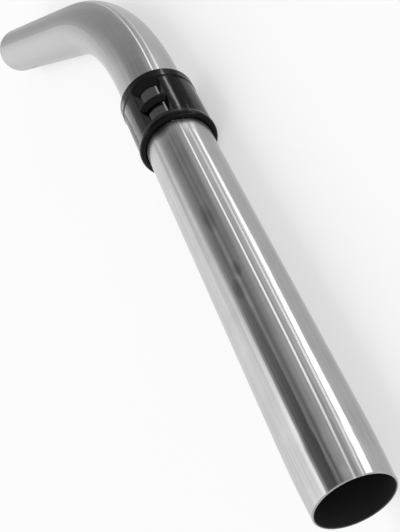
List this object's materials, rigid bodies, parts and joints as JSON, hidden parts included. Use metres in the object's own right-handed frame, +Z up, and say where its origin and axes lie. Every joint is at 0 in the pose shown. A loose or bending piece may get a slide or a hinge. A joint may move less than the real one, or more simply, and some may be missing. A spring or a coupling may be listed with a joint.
{
  "type": "curved vacuum wand",
  "caption": "Bent steel vacuum hand tube with a drawn-in mouth and a turning black plastic collar whose windows uncover bleed slots to lower the suction.",
  "frame": {"origin": "middle of the bounding box, on the surface that the wand lies on", "axes": "+X along the straight run from the mouth to the bend, +Y the way the bend turns, +Z up"},
  "size_m": [0.4904, 0.1596, 0.0381],
  "materials": {
    "tube_steel": "polished",
    "collar_plastic": "gloss"
  },
  "bodies": {
    "tube": {"wand_tube": "tube_steel"},
    "collar": {"control_collar": "collar_plastic"}
  },
  "joints": [
    {"name": "collar_turn", "type": "hinge", "parent": "tube", "child": "collar", "pos_m": [-0.03688, -0.06079, 0.01905], "axis": [-1, 0, 0], "range_deg": [0, 60]}
  ]
}
